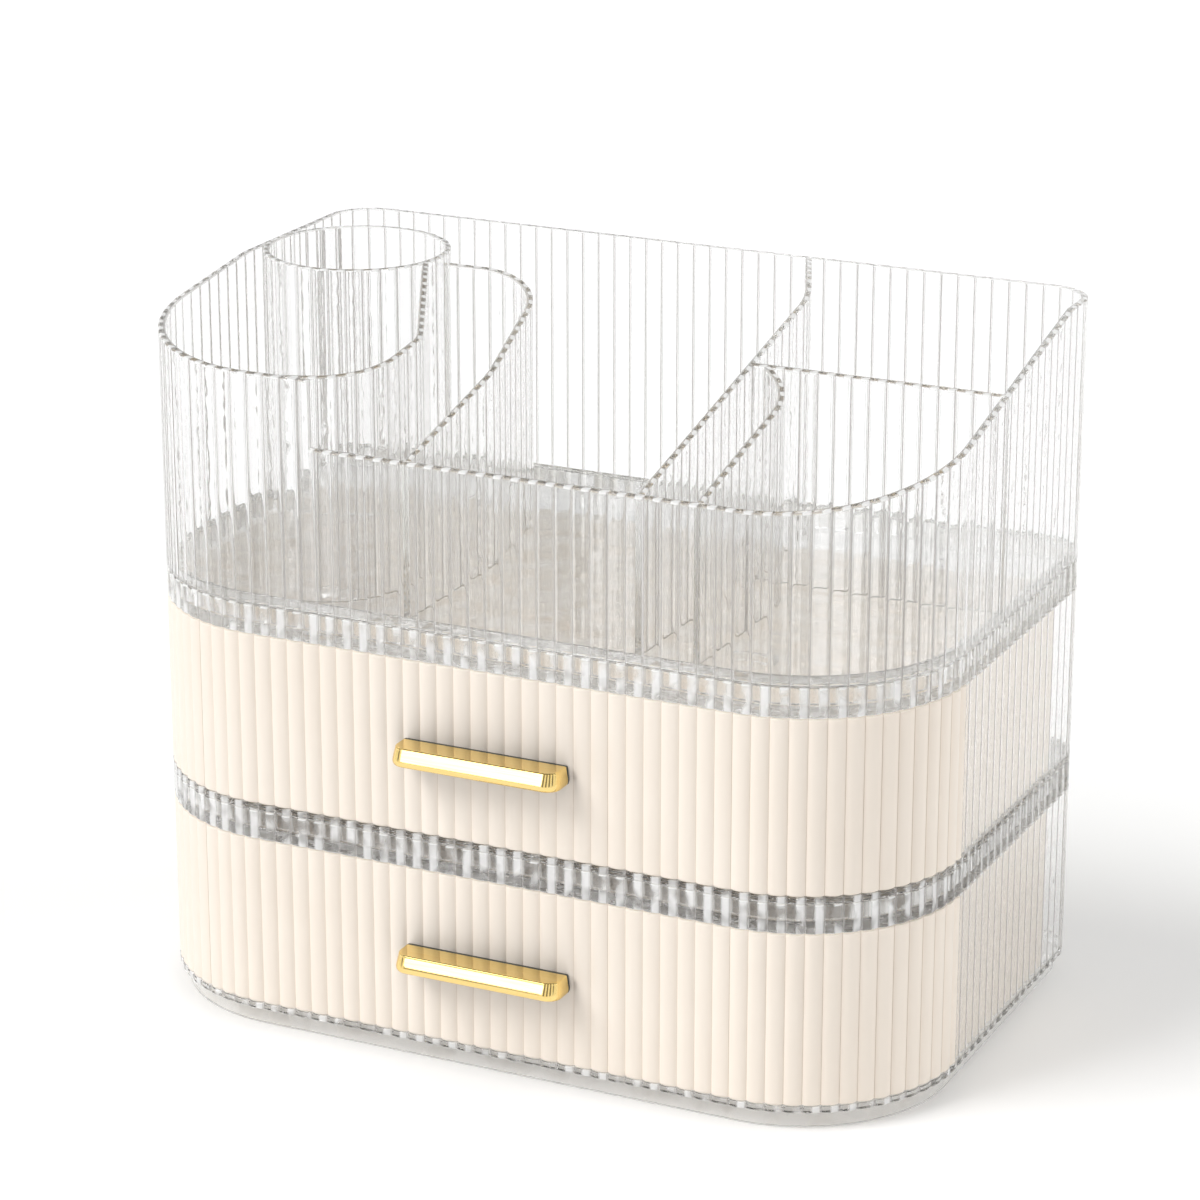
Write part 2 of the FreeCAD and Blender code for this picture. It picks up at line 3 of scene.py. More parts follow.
import bmesh
import bpy
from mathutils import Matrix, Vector


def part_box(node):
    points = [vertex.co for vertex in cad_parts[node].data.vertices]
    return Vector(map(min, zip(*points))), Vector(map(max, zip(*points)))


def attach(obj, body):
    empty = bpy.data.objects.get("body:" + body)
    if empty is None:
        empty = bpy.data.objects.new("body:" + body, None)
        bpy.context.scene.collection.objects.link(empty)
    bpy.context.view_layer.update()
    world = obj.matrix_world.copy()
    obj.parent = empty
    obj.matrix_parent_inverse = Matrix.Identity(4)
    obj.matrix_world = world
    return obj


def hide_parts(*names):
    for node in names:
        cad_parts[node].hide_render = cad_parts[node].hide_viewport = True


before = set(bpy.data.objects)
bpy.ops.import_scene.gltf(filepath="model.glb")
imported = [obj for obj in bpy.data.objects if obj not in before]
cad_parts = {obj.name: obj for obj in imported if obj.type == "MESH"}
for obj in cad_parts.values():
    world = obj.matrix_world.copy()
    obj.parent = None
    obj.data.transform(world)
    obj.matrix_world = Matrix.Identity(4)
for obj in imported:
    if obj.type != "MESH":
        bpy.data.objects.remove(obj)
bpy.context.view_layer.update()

mm = 0.001
print("frame loaded:", len(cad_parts), "nodes")


def boxMm(node):
    low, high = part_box(node)
    return low / mm, high / mm


# Routes: straight runs and tangent arcs, in millimetres on the floor plan.

def straightRun(start, end):
    heading = (end - start).normalized()
    return {"length": (end - start).length, "at": lambda s: (start + heading * s, heading)}


def arcRun(centre, start, turn):
    spoke = start - centre
    radius = spoke.length
    side = math.copysign(1, turn)

    def at(s):
        angle = side * s / radius
        c, k = math.cos(angle), math.sin(angle)
        out = Vector((spoke.x * c - spoke.y * k, spoke.x * k + spoke.y * c))
        return centre + out, Vector((-out.y, out.x)) * (side / radius)

    return {"length": abs(turn) * radius, "at": at}


def routeThrough(corners):
    # corners are (x, y, radius); the first and last have no radius
    runs = []
    here = Vector(corners[0][:2])
    for before, corner, after in zip(corners, corners[1:], corners[2:]):
        tip = Vector(corner[:2])
        back = (Vector(before[:2]) - tip).normalized()
        ahead = (Vector(after[:2]) - tip).normalized()
        half = back.angle(ahead) / 2
        reach = corner[2] / math.tan(half)
        start = tip + back * reach
        centre = tip + (back + ahead).normalized() * corner[2] / math.sin(half)
        turn = math.copysign(math.pi - 2 * half, back.cross(ahead)) * -1
        runs.append(straightRun(here, start))
        runs.append(arcRun(centre, start, turn))
        here = tip + ahead * reach
    runs.append(straightRun(here, Vector(corners[-1][:2])))
    return runs


def routeLength(runs):
    return sum(run["length"] for run in runs)


def pointAlong(runs, s):
    for run in runs:
        if s <= run["length"] or run is runs[-1]:
            place, heading = run["at"](min(s, run["length"]))
            return place, Vector((heading.y, -heading.x))
        s -= run["length"]


# The reeds share one pitch all round, so every wall's reeds stand in line.
# A profile is the groove's depth below the crest, and how flat the reed is: 2 is
# round, and more gives a flatter face and a sharper groove.
reeds = {
    "pitch": 6.0,  # width of one reed
    "wall": (0.22, 9.0),
    "divider": (0.2, 5.0),
    "rim": (0.55, 2.2),
    "front": (0.85, 2.2),
    "marks": (0.0, 0.04, 0.1, 0.19, 0.31, 0.5, 0.69, 0.81, 0.9, 0.96),  # mesh lines across one reed
    "endGap": 0.1,  # mesh lines nearer than this to a wall's end are left out
    "lipDepth": 0.6,  # this much of a wall's top is its lip
}
sharpFrom = 34.0  # degrees between two faces that make a hard edge


def stations(runs, closed, start=0.0, end=None, extra=()):
    # places along a route: position, right-hand normal, and where in its reed,
    # from -1 to 1 with 0 at the crest
    total = routeLength(runs)
    count = round(total / reeds["pitch"])
    pitch = total / count
    end = total if end is None else end
    marks = [pitch * (i + mark) for i in range(count) for mark in reeds["marks"]]
    if not closed:
        marks = [s for s in marks if start + reeds["endGap"] < s < end - reeds["endGap"]]
        marks = [start] + marks + [end]
    made = []
    for s in sorted(marks + list(extra)):
        place, right = pointAlong(runs, s)
        made.append((place, right, 2 * ((s / pitch) % 1) - 1))
    return made


# A wall's section, from its lower outer edge over the top and back, as
# (inset, share of the height, offset, reeded or not), with rounded edges.
# Only the outer face is reeded.
def wallSection(thickness, edge, bottomEdge=None):
    low = edge if bottomEdge is None else bottomEdge
    corners = (
        (low, 0, low, 270, 180, low, 1),
        (edge, 1, -edge, 180, 90, edge, 1),
        (thickness - edge, 1, -edge, 90, 0, edge, 0),
        (thickness - low, 0, low, 0, -90, low, 0),
    )
    return [point for corner in corners for point in roundedCorner(*corner)]


def roundedCorner(inset, share, offset, fromAngle, toAngle, radius, reeded, steps=3, hold=0.3):
    # a point held back on each side keeps the faces beside the corner optically flat
    made = []
    for i in range(steps + 1):
        angle = math.radians(fromAngle + (toAngle - fromAngle) * i / steps)
        across, up = radius * math.cos(angle), radius * math.sin(angle)
        if i == 0:
            back, down = hold * math.sin(angle), -hold * math.cos(angle)
            made.append((inset + across - back, share, offset + up - down, reeded))
        made.append((inset + across, share, offset + up, reeded))
        if i == steps:
            on, rise = hold * math.sin(angle), -hold * math.cos(angle)
            made.append((inset + across + on, share, offset + up + rise, reeded))
    return made


def ringOf(places, point, profile, low, high):
    inset, share, offset, reeded = point
    depth, flatness = profile
    ring = []
    for place, right, across in places:
        x, y = place - right * (inset + reeded * depth * abs(across) ** flatness)
        top = high(x, y) if callable(high) else high
        ring.append((x, y, low + share * (top - low) + offset))
    return ring


# Rings of equal count, bridged in order. A plate's first and last ring are capped, and a
# wall's last ring joins its first. A wall that doesn't close on itself gets two ends.
def addRings(bm, rings, closed, capped):
    rows = [[bm.verts.new(Vector(p) * mm) for p in ring] for ring in rings]
    pairs = list(zip(rows, rows[1:]))
    if not capped:
        pairs.append((rows[-1], rows[0]))
    count = len(rows[0])
    for first, second in pairs:
        for i in range(count if closed else count - 1):
            j = (i + 1) % count
            bm.faces.new((first[i], first[j], second[j], second[i]))
    if capped:
        bm.faces.new(rows[0])
        bm.faces.new(rows[-1])
    if not closed:
        bm.faces.new([row[0] for row in rows])
        bm.faces.new([row[-1] for row in rows])


def markReeds(mesh, places, section, capped):
    # for the materials: where in its reed each point is, and whether it is on a wall's lip
    caps = (0, len(section) - 1) if capped else ()  # no reeds run over the caps
    reed, lip = [], []
    for i, (inset, share, offset, reeded) in enumerate(section):
        atLip = float(share == 1 and offset > -reeds["lipDepth"])
        for spot, right, across in places:
            reed.append(0.0 if i in caps else across * abs(reeded))
            lip.append(atLip)
    for attribute, values in (("reed", reed), ("lip", lip)):
        values += [0.0] * (len(mesh.vertices) - len(values))  # the lugs have neither
        mesh.attributes.new(attribute, "FLOAT", "POINT").data.foreach_set("value", values)


def meshFrom(name, rings, closed=True, capped=False, places=(), section=(), lugs=()):
    # lugs are blocks of their own, each a list of rings
    mesh = bpy.data.meshes.new(name)
    bm = bmesh.new()
    addRings(bm, rings, closed, capped)
    for lug in lugs:
        addRings(bm, lug, closed=True, capped=True)
    bmesh.ops.recalc_face_normals(bm, faces=bm.faces)
    for face in bm.faces:
        face.smooth = True
    bm.to_mesh(mesh)
    bm.free()
    if places:
        markReeds(mesh, places, section, capped)
    mesh.set_sharp_from_angle(angle=math.radians(sharpFrom))
    piece = bpy.data.objects.new(name, mesh)
    bpy.context.scene.collection.objects.link(piece)
    return piece


def addPiece(piece, body, material, nodeName):
    piece.data.materials.append(material)
    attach(piece, body)
    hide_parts(nodeName)


# Materials.

def toLinear(hexColour):
    channels = [int(hexColour[i:i + 2], 16) / 255 for i in (1, 3, 5)]
    linear = [c / 12.92 if c <= 0.04045 else ((c + 0.055) / 1.055) ** 2.4 for c in channels]
    return (*linear, 1.0)


def node(tree, kind, inputs=None, **settings):
    # each input, by name or number, is a value or the socket that feeds it
    made = tree.nodes.new(kind)
    for key, value in settings.items():
        setattr(made, key, value)
    for key, value in (inputs or {}).items():
        if isinstance(value, bpy.types.NodeSocket):
            tree.links.new(value, made.inputs[key])
        else:
            made.inputs[key].default_value = value
    return made


def newMaterial(name):
    material = bpy.data.materials.new(name)
    material.use_nodes = True
    material.node_tree.nodes.clear()
    return material, material.node_tree


def perMetre(size):
    return 1.0 / (size * mm)  # a noise scale, from millimetres between its spots


clearFinish = {
    "tint": "#FEFEFE",
    "shade": "#F8F8F7",  # what a lamp's light loses through one skin
    "roughness": 0.015, "ior": 1.49,
    "groove": "#776D65",  # painted shade: this dark colour in each groove stands in for the shade on the steep groove faces
    "grooveFrom": 0.81, "grooveHaze": 0.85,  # from this share of the way, crest to groove
    "rimHaze": 0.55,  # the thick rims cool slowly, and one side of each reed stays cloudy
    "sideFrom": -0.05, "sideTo": 0.2,  # where across a reed that side fades in
    "patchSize": 9.0,  # millimetres between the cloudier and clearer spots of a rim
    "patchFrom": 0.4, "patchTo": 0.56, "patchLeast": 0.15, "patchMost": 1.3,
    "lipHaze": 0.85,  # the cut upper edge scatters light on one side of each reed
    "lipFrom": -0.05, "lipTo": 0.1,
    "rippleSize": 7.0, "ripple": 0.05,  # millimetres: the slight waves of a moulded face
    "turns": 18,  # light still caught in a wall after this many turns leaks out of it
}


# Acrylic, injection moulded and polished: clear, with a cloudy dark line of painted shade
# in each groove, and in the thick rims a pale cloudy side to every reed.
def clearAcrylic(name, haze):
    material, tree = newMaterial(name)
    f = clearFinish
    reed = node(tree, "ShaderNodeAttribute", attribute_name="reed")
    fromCrest = node(tree, "ShaderNodeMath", {0: reed.outputs["Fac"]}, operation="ABSOLUTE")
    # painted shade: towards each groove the wall turns cloudy and dark, in place of the groove's
    # shade
    groove = node(tree, "ShaderNodeMapRange", {
        "Value": fromCrest.outputs[0], "From Min": f["grooveFrom"], "To Max": f["grooveHaze"],
    })
    side = node(tree, "ShaderNodeMapRange", {
        "Value": reed.outputs["Fac"],
        "From Min": f["sideFrom"], "From Max": f["sideTo"], "To Max": haze,
    })
    spots = node(tree, "ShaderNodeTexCoord")
    uneven = node(tree, "ShaderNodeTexNoise", {
        "Vector": spots.outputs["Object"], "Scale": perMetre(f["patchSize"]), "Detail": 1.0,
    })
    patch = node(tree, "ShaderNodeMapRange", {
        "Value": uneven.outputs["Fac"], "From Min": f["patchFrom"], "From Max": f["patchTo"],
        "To Min": f["patchLeast"], "To Max": f["patchMost"],
    })
    cooled = node(
        tree, "ShaderNodeMath", {0: side.outputs[0], 1: patch.outputs[0]}, operation="MULTIPLY",
    )
    lip = node(tree, "ShaderNodeAttribute", attribute_name="lip")
    cutSide = node(tree, "ShaderNodeMapRange", {
        "Value": reed.outputs["Fac"],
        "From Min": f["lipFrom"], "From Max": f["lipTo"], "To Max": f["lipHaze"],
    })
    cut = node(
        tree, "ShaderNodeMath", {0: lip.outputs["Fac"], 1: cutSide.outputs[0]},
        operation="MULTIPLY",
    )
    hazy = node(
        tree, "ShaderNodeMath", {0: cut.outputs[0], 1: cooled.outputs[0]}, operation="MAXIMUM",
    )
    cloud = node(
        tree, "ShaderNodeMath", {0: groove.outputs[0], 1: hazy.outputs[0]}, operation="MAXIMUM",
    )
    clear = node(tree, "ShaderNodeMath", {0: 1.0, 1: cloud.outputs[0]}, operation="SUBTRACT")
    # painted shade: the groove's dark colour is mixed in here
    colour = node(
        tree, "ShaderNodeMix",
        {"Factor": groove.outputs[0], 6: toLinear(f["tint"]), 7: toLinear(f["groove"])},
        data_type="RGBA",
    )
    wave = node(tree, "ShaderNodeTexNoise", {
        "Vector": spots.outputs["Object"], "Scale": perMetre(f["rippleSize"]), "Detail": 1.0,
    })
    rise = node(tree, "ShaderNodeBump", {
        "Height": wave.outputs["Fac"], "Strength": 1.0, "Distance": f["ripple"] * mm,
    })
    glass = node(tree, "ShaderNodeBsdfPrincipled", {
        "Base Color": colour.outputs[2], "Transmission Weight": clear.outputs[0],
        "Normal": rise.outputs[0], "Roughness": f["roughness"], "IOR": f["ior"],
    })
    # shadows, soft light and long-caught light go straight through
    through = node(tree, "ShaderNodeBsdfTransparent", {"Color": toLinear(f["shade"])})
    path = node(tree, "ShaderNodeLightPath")
    soft = node(
        tree, "ShaderNodeMath",
        {0: path.outputs["Is Shadow Ray"], 1: path.outputs["Is Diffuse Ray"]},
        operation="MAXIMUM",
    )
    caught = node(
        tree, "ShaderNodeMath", {0: path.outputs["Ray Depth"], 1: f["turns"]},
        operation="GREATER_THAN",
    )
    leaves = node(
        tree, "ShaderNodeMath", {0: soft.outputs[0], 1: caught.outputs[0]}, operation="MAXIMUM",
    )
    mix = node(
        tree, "ShaderNodeMixShader",
        {0: leaves.outputs[0], 1: glass.outputs[0], 2: through.outputs[0]},
    )
    node(tree, "ShaderNodeOutputMaterial", {"Surface": mix.outputs[0]})
    return material


creamFinish = {
    "colour": "#FCF2E6",
    "flow": "#F8ECDE", "flowSize": 38.0,  # millimetres between the clouds that the melt leaves
    # painted shade: the colour each groove darkens to, in place of the shade in the groove
    "groove": "#C2AE9B", "grooveFrom": 0.93,
    "grainSize": 0.6,  # real spark grain is near 0.1 mm, drawn coarser so that it shows
    "grain": 0.05, "grainDepth": 0.2,
    "roughness": 0.3, "roughnessSpread": 0.1, "ior": 1.53,
}


# Cream ABS, injection moulded with a satin spark-eroded finish: soft broad highlights,
# very faint clouds where the melt flowed, and painted shade darkening each groove.
def creamPlastic():
    material, tree = newMaterial("satinCreamAbs")
    f = creamFinish
    spots = node(tree, "ShaderNodeTexCoord")
    flow = node(tree, "ShaderNodeTexNoise", {
        "Vector": spots.outputs["Object"], "Scale": perMetre(f["flowSize"]), "Detail": 2.0,
    })
    colour = node(
        tree, "ShaderNodeMix",
        {"Factor": flow.outputs["Fac"], 6: toLinear(f["colour"]), 7: toLinear(f["flow"])},
        data_type="RGBA",
    )
    reed = node(tree, "ShaderNodeAttribute", attribute_name="reed")
    fromCrest = node(tree, "ShaderNodeMath", {0: reed.outputs["Fac"]}, operation="ABSOLUTE")
    # painted shade: the colour darkens near each groove
    groove = node(tree, "ShaderNodeMapRange", {
        "Value": fromCrest.outputs[0], "From Min": f["grooveFrom"],
    })
    shaded = node(
        tree, "ShaderNodeMix",
        {"Factor": groove.outputs[0], 6: colour.outputs[2], 7: toLinear(f["groove"])},
        data_type="RGBA",
    )
    grain = node(tree, "ShaderNodeTexNoise", {
        "Vector": spots.outputs["Object"], "Scale": perMetre(f["grainSize"]), "Detail": 3.0,
    })
    gloss = node(tree, "ShaderNodeMapRange", {
        "Value": flow.outputs["Fac"],
        "To Min": f["roughness"], "To Max": f["roughness"] + f["roughnessSpread"],
    })
    rise = node(tree, "ShaderNodeBump", {
        "Height": grain.outputs["Fac"], "Strength": f["grain"], "Distance": f["grainDepth"] * mm,
    })
    skin = node(tree, "ShaderNodeBsdfPrincipled", {
        "Normal": rise.outputs[0], "Base Color": shaded.outputs[2],
        "Roughness": gloss.outputs[0], "IOR": f["ior"],
    })
    node(tree, "ShaderNodeOutputMaterial", {"Surface": skin.outputs[0]})
    return material


goldFinish = {
    "colour": "#FBE3A0", "worn": "#F3CF78",
    "buffSize": 0.5,  # buffing lines are finer, drawn this coarse so that they show
    "buffLength": 0.03,  # noise scale along the bar against across it, which draws out lines
    "roughness": 0.05, "roughnessSpread": 0.07,
    # painted shade: the dark colour and roughness of the band along the back edge, standing in for
    # the gap's shadow and dark reflection
    "paintedGapShade": "#3B3F38", "paintedGapShadeRoughness": 0.45,
    "paintedGapShadeDepth": 1.5,  # how far the painted shade reaches in from the back edge, in millimetres
}


# Zinc casting, gold plated and buffed lengthwise: a mirror with a warm yellow cast,
# fine lines along the bar and a dark line of painted shade where it meets the drawer.
def platedGold():
    material, tree = newMaterial("buffedGoldPlate")
    f = goldFinish
    spots = node(tree, "ShaderNodeTexCoord")
    along = node(tree, "ShaderNodeMapping", {
        "Vector": spots.outputs["Object"], "Scale": (f["buffLength"], 1.0, 1.0),
    })
    buff = node(tree, "ShaderNodeTexNoise", {
        "Vector": along.outputs[0], "Scale": perMetre(f["buffSize"]), "Detail": 2.0,
    })
    colour = node(
        tree, "ShaderNodeMix",
        {"Factor": buff.outputs["Fac"], 6: toLinear(f["colour"]), 7: toLinear(f["worn"])},
        data_type="RGBA",
    )
    gloss = node(tree, "ShaderNodeMapRange", {
        "Value": buff.outputs["Fac"],
        "To Min": f["roughness"], "To Max": f["roughness"] + f["roughnessSpread"],
    })
    plate = node(tree, "ShaderNodeBsdfPrincipled", {
        "Base Color": colour.outputs[2], "Roughness": gloss.outputs[0], "Metallic": 1.0,
    })
    # painted shade: a dark matt skin stands in for the shadow and dark reflection of the gap at the
    # drawer
    paintedGapShadeSkin = node(tree, "ShaderNodeBsdfPrincipled", {
        "Base Color": toLinear(f["paintedGapShade"]), "Roughness": f["paintedGapShadeRoughness"],
    })
    # the painted shade covers the back of the bar
    parts = node(tree, "ShaderNodeSeparateXYZ", {0: spots.outputs["Object"]})
    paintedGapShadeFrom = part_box("lower_handle")[1][1] - f["paintedGapShadeDepth"] * mm
    atBack = node(
        tree, "ShaderNodeMath", {0: parts.outputs["Y"], 1: paintedGapShadeFrom}, operation="GREATER_THAN",
    )
    skin = node(
        tree, "ShaderNodeMixShader",
        {0: atBack.outputs[0], 1: plate.outputs[0], 2: paintedGapShadeSkin.outputs[0]},
    )
    node(tree, "ShaderNodeOutputMaterial", {"Surface": skin.outputs[0]})
    return material


steelFinish = {
    "colour": "#C9CACC",
    "dull": "#A9ABAE", "patchSize": 1.2,  # millimetres between the duller patches
    "roughness": 0.25, "roughnessSpread": 0.2,
}


# Zinc-plated steel, rolled: grey and dull, in slightly uneven patches.
def zincSteel():
    material, tree = newMaterial("zincPlatedSteel")
    f = steelFinish
    spots = node(tree, "ShaderNodeTexCoord")
    patch = node(tree, "ShaderNodeTexNoise", {
        "Vector": spots.outputs["Object"], "Scale": perMetre(f["patchSize"]), "Detail": 2.0,
    })
    colour = node(
        tree, "ShaderNodeMix",
        {"Factor": patch.outputs["Fac"], 6: toLinear(f["colour"]), 7: toLinear(f["dull"])},
        data_type="RGBA",
    )
    gloss = node(tree, "ShaderNodeMapRange", {
        "Value": patch.outputs["Fac"],
        "To Min": f["roughness"], "To Max": f["roughness"] + f["roughnessSpread"],
    })
    skin = node(tree, "ShaderNodeBsdfPrincipled", {
        "Base Color": colour.outputs[2], "Roughness": gloss.outputs[0], "Metallic": 1.0,
    })
    node(tree, "ShaderNodeOutputMaterial", {"Surface": skin.outputs[0]})
    return material


acrylic = clearAcrylic("polishedClearAcrylic", 0.0)
rimAcrylic = clearAcrylic("cloudyRimAcrylic", clearFinish["rimHaze"])
cream = creamPlastic()
gold = platedGold()
steel = zincSteel()
print("materials made")


# The casing's outline, shared by every plate, shell, drawer front and the tray.
casing = {
    "frontRadius": 55.0, "backRadius": 16.0,
    "shellWall": 2.4,
    "plinthInset": 3.0, "plinthWall": 2.4, "plinthHeight": 6.4,
    "plinthHold": 0.2,  # the ring's bottom is too narrow for roundedCorner's own hold
    "rimInset": 2.7, "plateThickness": 3.6,
    "edge": 0.35,
    "searchSteps": 6000,
}
plateLow, plateHigh = boxMm("lower_top_plate")
caseSide = (plateHigh.x - plateLow.x) / 2
frontY, backY = plateLow.y, plateHigh.y
caseRoute = routeThrough((
    (0, frontY, 0),
    (caseSide, frontY, casing["frontRadius"]),
    (caseSide, backY, casing["backRadius"]),
    (-caseSide, backY, casing["backRadius"]),
    (-caseSide, frontY, casing["frontRadius"]),
    (0, frontY, 0),
))
caseLength = routeLength(caseRoute)
casePlaces = stations(caseRoute, closed=True)


def distanceTo(runs, test):
    # first distance along a route at which test(place) turns true
    total = routeLength(runs)
    steps = casing["searchSteps"]
    for i in range(steps + 1):
        if test(pointAlong(runs, total * i / steps)[0]):
            return total * i / steps
    return total


def casePlate(name, section, low, high, lugs=()):
    rings = [ringOf(casePlaces, p, reeds["rim"], low, high) for p in section]
    return meshFrom(
        name + "_clear", rings, capped=True, places=casePlaces, section=section, lugs=lugs,
    )


def plateOnPlinth(name, plateInset=0.0, plinthReeds=1):
    # from the plate's underside down the plinth ring and up round the plate to its top
    low, high = boxMm(name)
    edge, hold = casing["edge"], casing["plinthHold"]
    outer = casing["plinthInset"]
    inner = outer + casing["plinthWall"]
    joint = casing["plinthHeight"]
    reeded = plateInset == 0
    section = [(inner, 0, joint, -plinthReeds)]
    section += roundedCorner(inner - edge, 0, edge, 0, -90, edge, -plinthReeds, hold=hold)
    section += roundedCorner(outer + edge, 0, edge, 270, 180, edge, plinthReeds, hold=hold)
    section += [(outer, 0, joint, plinthReeds)]
    section += roundedCorner(plateInset + edge, 0, joint + edge, 270, 180, edge, reeded)
    section += roundedCorner(plateInset + edge, 0, high.z - low.z - edge, 180, 90, edge, reeded)
    return casePlate(name, section, low.z, high.z)


def basePlate(name):
    # the plinth that stands on the table is plain, and one that nests in a rim is reeded
    onTable = boxMm(name)[0].z < 1
    return plateOnPlinth(name, plinthReeds=0 if onTable else 1)


# Two lugs under each top plate, which a fully open drawer's back meets.
stops = {
    "spacing": 150.0, "width": 14.0, "depth": 3.0, "height": 3.0,
    "back": -38.1,  # where their back faces stand
    "edge": 0.4,
    "sunk": 0.1,  # into the plate
}


def drawerStop(side, under):
    middle, half = side * stops["spacing"] / 2, stops["width"] / 2
    foot = under - stops["height"]
    rings = []
    for inset, z in (
        (stops["edge"], foot), (0.0, foot + stops["edge"]), (0.0, under + stops["sunk"]),
    ):
        left, right = middle - half + inset, middle + half - inset
        front, back = stops["back"] - stops["depth"] + inset, stops["back"] - inset
        rings.append([(left, back, z), (left, front, z), (right, front, z), (right, back, z)])
    return rings


def topPlate(name):
    # the plate lies on the shell, and a rim stands round it
    low = boxMm(name.replace("top_plate", "shell"))[1].z
    high = boxMm(name)[1].z
    edge, inner = casing["edge"], casing["rimInset"]
    section = roundedCorner(edge, 0, edge, 270, 180, edge, 1)
    section += roundedCorner(edge, 1, -edge, 180, 90, edge, 1)
    section += roundedCorner(inner - edge, 1, -edge, 90, 0, edge, 0)
    section += [(inner, 0, casing["plateThickness"], 0)]
    return casePlate(name, section, low, high, lugs=[drawerStop(side, low) for side in (-1, 1)])


def shellWall(name):
    low, high = boxMm(name)
    start = distanceTo(caseRoute, lambda p: p.x > 0 and p.y > low.y)
    places = stations(caseRoute, closed=False, start=start, end=caseLength - start)
    section = wallSection(casing["shellWall"], casing["edge"])
    rings = [ringOf(places, p, reeds["wall"], low.z, high.z) for p in section]
    return meshFrom(name + "_clear", rings, closed=False, places=places, section=section)


drawerFronts = {"thickness": 3.2, "edge": 0.5}


def drawerFront(name):
    # the outline starts at the middle of the front, so the left half comes from its end
    low, high = boxMm(name)
    half = distanceTo(caseRoute, lambda p: p.x > 0 and p.y > high.y)
    left = stations(caseRoute, closed=False, start=caseLength - half)[:-1]
    right = stations(caseRoute, closed=False, end=half)
    places = left + right
    section = wallSection(drawerFronts["thickness"], drawerFronts["edge"])
    rings = [ringOf(places, p, reeds["front"], low.z, high.z) for p in section]
    return meshFrom(name + "_cream", rings, closed=False, places=places, section=section)


# Bar pull: a slanted front face that rolls under, and a finger recess below.
handle = {
    "cornerRadius": 5.0, "leastRadius": 1.5, "backRadius": 0.5,
    "slant": 1.5,  # how far the front leans back from its fullest line to the top
    "slantCurve": 1.1,  # 1 is a straight lean, and more is a hollow one
    "endSlant": 0.4, "cornerSlant": 0.5,  # shares of it for the ends and the corner radius
    "fullest": 0.3,  # height of that line, as a share of the bar
    "roll": 1.8,
    "topEdge": 0.5, "topHold": 0.4,
    "recessEnd": 12.0, "recessWall": 2.8, "recessDepth": 4.7, "recessRadius": 1.2,
    "points": 200, "rollSteps": 6, "slantSteps": 8, "edgeSteps": 4,
}


def aroundLoop(left, right, front, back, frontRadius, backRadius):
    # evenly spaced points round a plan, from the middle of the back
    middle = (left + right) / 2
    runs = routeThrough((
        (middle, back, 0), (left, back, backRadius), (left, front, frontRadius),
        (right, front, frontRadius), (right, back, backRadius), (middle, back, 0),
    ))
    total = routeLength(runs)
    return [pointAlong(runs, total * i / handle["points"])[0] for i in range(handle["points"])]


def handleBar(name):
    low, high = boxMm(name)
    h = handle

    def loop(inset, z, lean=0.0):
        side = inset + lean * h["endSlant"]
        radius = max(h["cornerRadius"] - inset - lean * h["cornerSlant"], h["leastRadius"])
        spots = aroundLoop(
            low.x + side, high.x - side, low.y + inset + lean, high.y - inset,
            radius, h["backRadius"],
        )
        return [(p.x, p.y, z) for p in spots]

    recess = aroundLoop(
        low.x + h["recessEnd"], high.x - h["recessEnd"],
        low.y + h["recessWall"], high.y - h["recessWall"],
        h["recessRadius"], h["recessRadius"],
    )
    rings = [[(p.x, p.y, low.z + z) for p in recess] for z in (h["recessDepth"], 0.0)]
    for i in range(h["rollSteps"] + 1):
        angle = math.radians(90 * i / h["rollSteps"])
        rise = h["roll"] * (1 - math.cos(angle))
        rings.append(loop(0.0, low.z + rise, lean=h["roll"] * (1 - math.sin(angle))))
    fullest = low.z + (high.z - low.z) * h["fullest"]
    shoulder = high.z - h["topEdge"]
    for i in range(1, h["slantSteps"] + 1):
        share = i / h["slantSteps"]
        lean = h["slant"] * share ** h["slantCurve"]
        rings.append(loop(0.0, fullest + (shoulder - fullest) * share, lean=lean))
    for i in range(1, h["edgeSteps"] + 1):
        angle = math.radians(90 * i / h["edgeSteps"])
        inset = h["topEdge"] * (1 - math.cos(angle))
        rings.append(loop(inset, high.z - h["topEdge"] * (1 - math.sin(angle)), lean=h["slant"]))
    rings.append(loop(h["topEdge"] + h["topHold"], high.z, lean=h["slant"]))
    return meshFrom(name + "_gold", rings, capped=True)


moduleParts = (
    ("base_plate", basePlate, "casing", rimAcrylic, "clear_acrylic"),
    ("shell", shellWall, "casing", acrylic, "clear_acrylic"),
    ("top_plate", topPlate, "casing", rimAcrylic, "clear_acrylic"),
    ("drawer_front", drawerFront, "drawer", cream, "cream_plastic"),
    ("handle", handleBar, "drawer", gold, "gold_metal"),
)
for prefix in ("lower", "upper"):
    for part, maker, body, finish, slot in moduleParts:
        name = f"{prefix}_{part}"
        addPiece(maker(name), f"{prefix}_{body}", finish, name)
    for part, finish in (("drawer_box", cream), ("handle_screws", steel)):
        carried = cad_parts[f"{prefix}_{part}"]
        carried.data.materials.clear()
        carried.data.materials.append(finish)
print("drawer modules made")


